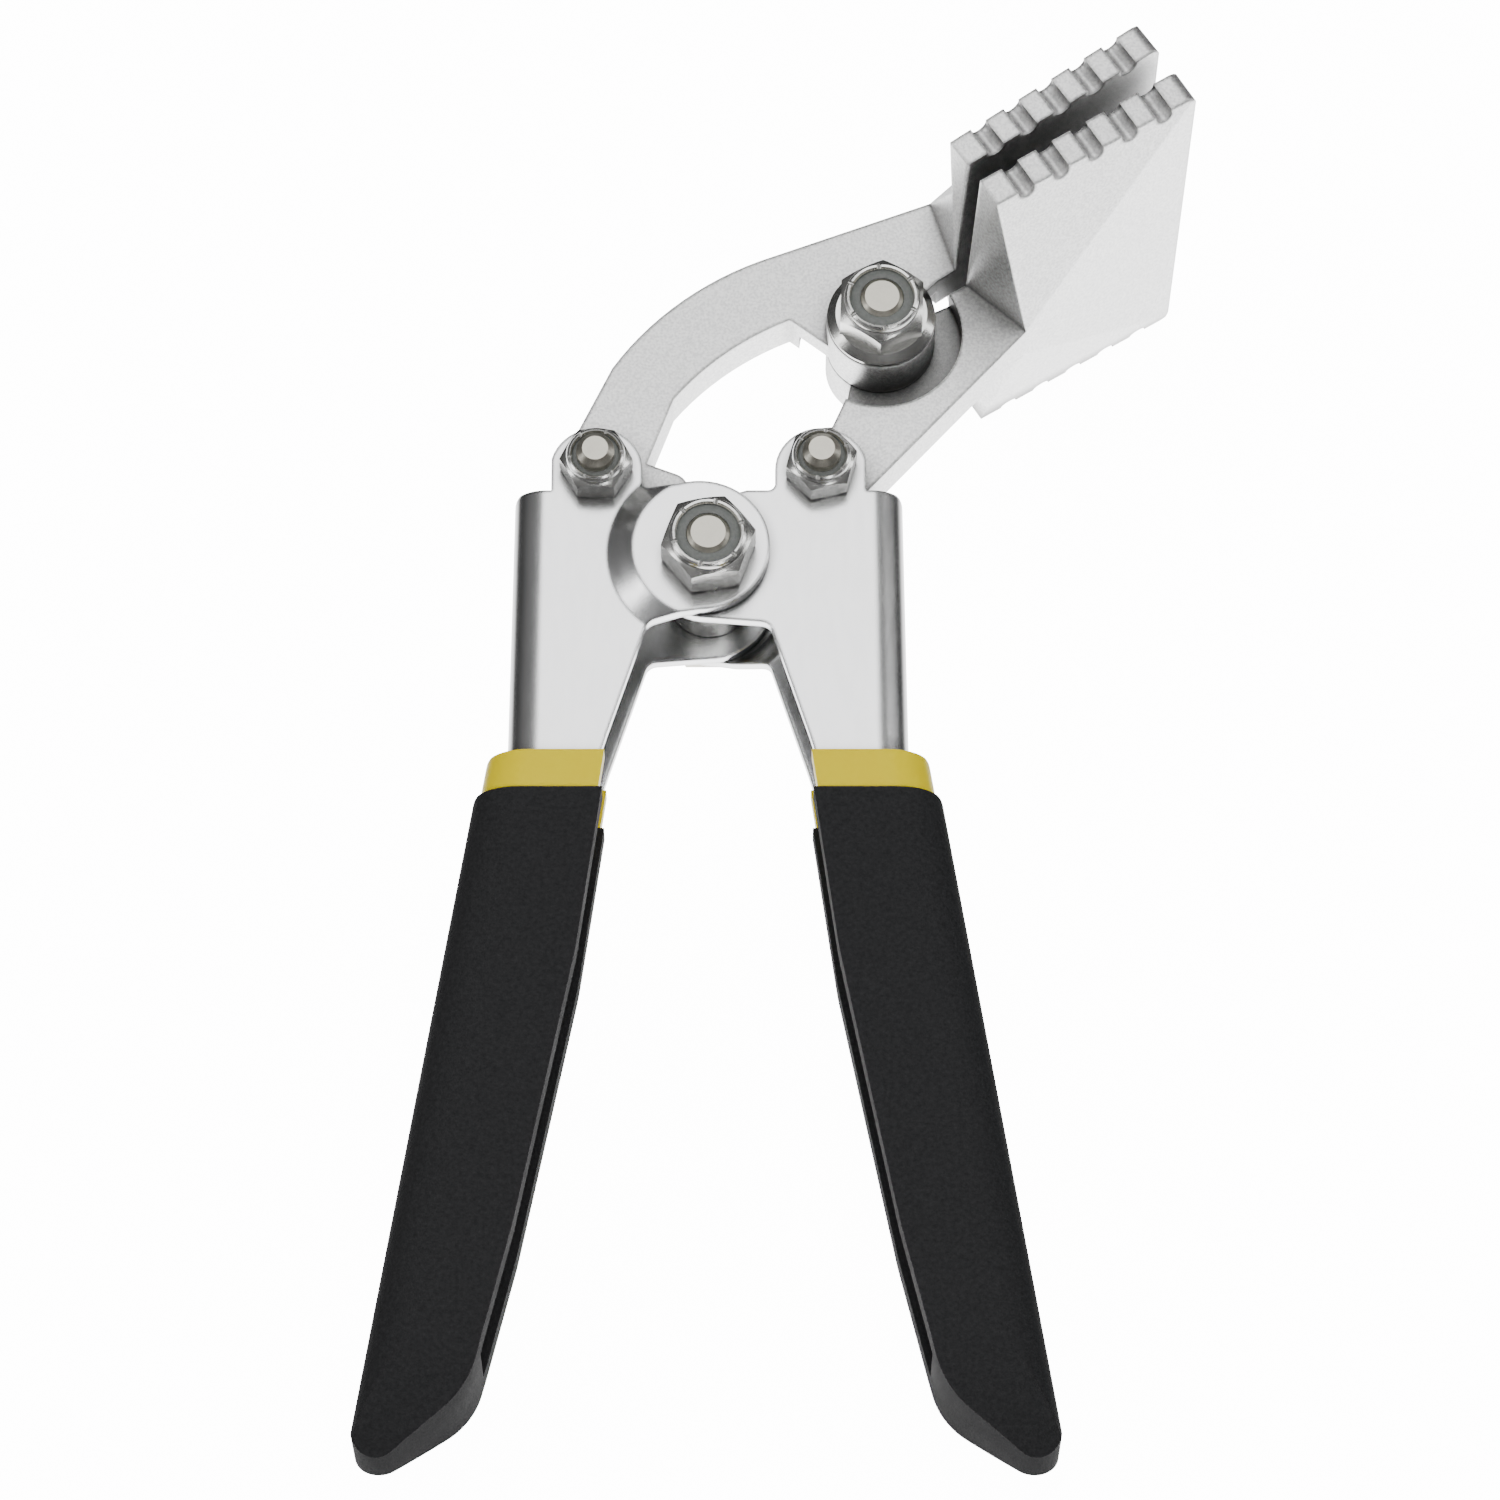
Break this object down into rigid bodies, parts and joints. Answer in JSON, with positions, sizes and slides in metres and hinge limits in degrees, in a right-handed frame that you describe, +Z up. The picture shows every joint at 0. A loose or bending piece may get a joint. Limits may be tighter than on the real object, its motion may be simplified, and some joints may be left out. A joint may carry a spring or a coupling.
{
  "type": "hand seamer",
  "caption": "Compound-action hand seamer: channel handles with dipped vinyl grips squeeze wide, offset flat jaws with notched side edges through a linkage of bolted pivots.",
  "frame": {"origin": "bottom centre of the tool's box, as it lies on a bench on the lower blade's rear corner and both grip ends", "axes": "+Y from the grips towards the jaws, +X towards the side that the jaws are bent to, +Z up; the pivot bolts lean back 8.785 degrees from +Z"},
  "size_m": [0.1294, 0.228, 0.0801],
  "materials": {
    "plated_sheet": "bright zinc-nickel plated stamped sheet",
    "cast_steel": "blasted cast steel, satin plated",
    "nut_steel": "bright plated",
    "bolt_steel": "plated, faintly yellow",
    "nylon": "dull grey nylon",
    "yellow_vinyl": "dipped vinyl, semi-matte",
    "black_vinyl": "matte, finely textured dipped vinyl"
  },
  "bodies": {
    "lower_jaw": {"lower_jaw": "cast_steel"},
    "upper_jaw": {"upper_jaw": "cast_steel", "jaw_pivot_bolt": "bolt_steel", "jaw_pivot_washer": "nut_steel", "jaw_pivot_nut": "nut_steel", "jaw_pivot_nut_insert": "nylon"},
    "right_handle": {"handle_right": "plated_sheet", "grip_underlayer_right": "yellow_vinyl", "grip_right": "black_vinyl", "handle_pivot_sleeve": "nut_steel", "link_bolt_right": "bolt_steel", "link_nut_right": "nut_steel", "link_nut_insert_right": "nylon", "link_spacers_right": "nut_steel"},
    "left_handle": {"handle_left": "plated_sheet", "grip_underlayer_left": "yellow_vinyl", "grip_left": "black_vinyl", "handle_pivot_bolt": "bolt_steel", "handle_pivot_washer": "nut_steel", "handle_pivot_nut": "nut_steel", "handle_pivot_nut_insert": "nylon", "link_bolt_left": "bolt_steel", "link_nut_left": "nut_steel", "link_nut_insert_left": "nylon", "link_spacers_left": "nut_steel"}
  },
  "joints": [
    {"name": "link_pivot_right", "type": "hinge", "parent": "lower_jaw", "child": "right_handle", "pos_m": [0.00598, 0.04519, 0.0328], "axis": [0, -0.1527, 0.9883], "range_deg": [-10.45, 20.85]},
    {"name": "handle_pivot", "type": "hinge", "parent": "right_handle", "child": "left_handle", "pos_m": [-0.01177, 0.02987, 0.03043], "axis": [0, -0.1527, 0.9883], "range_deg": [-16, 8]},
    {"name": "jaw_pivot", "type": "hinge", "parent": "lower_jaw", "child": "upper_jaw", "pos_m": [0.01563, 0.07147, 0.03686], "axis": [0, -0.1527, 0.9883], "range_deg": [-4.85, 9.65]}
  ],
  "couplings": [
    {"joint": "link_pivot_right", "follows": "handle_pivot", "ratio": -1.3},
    {"joint": "jaw_pivot", "follows": "handle_pivot", "ratio": -0.6}
  ]
}
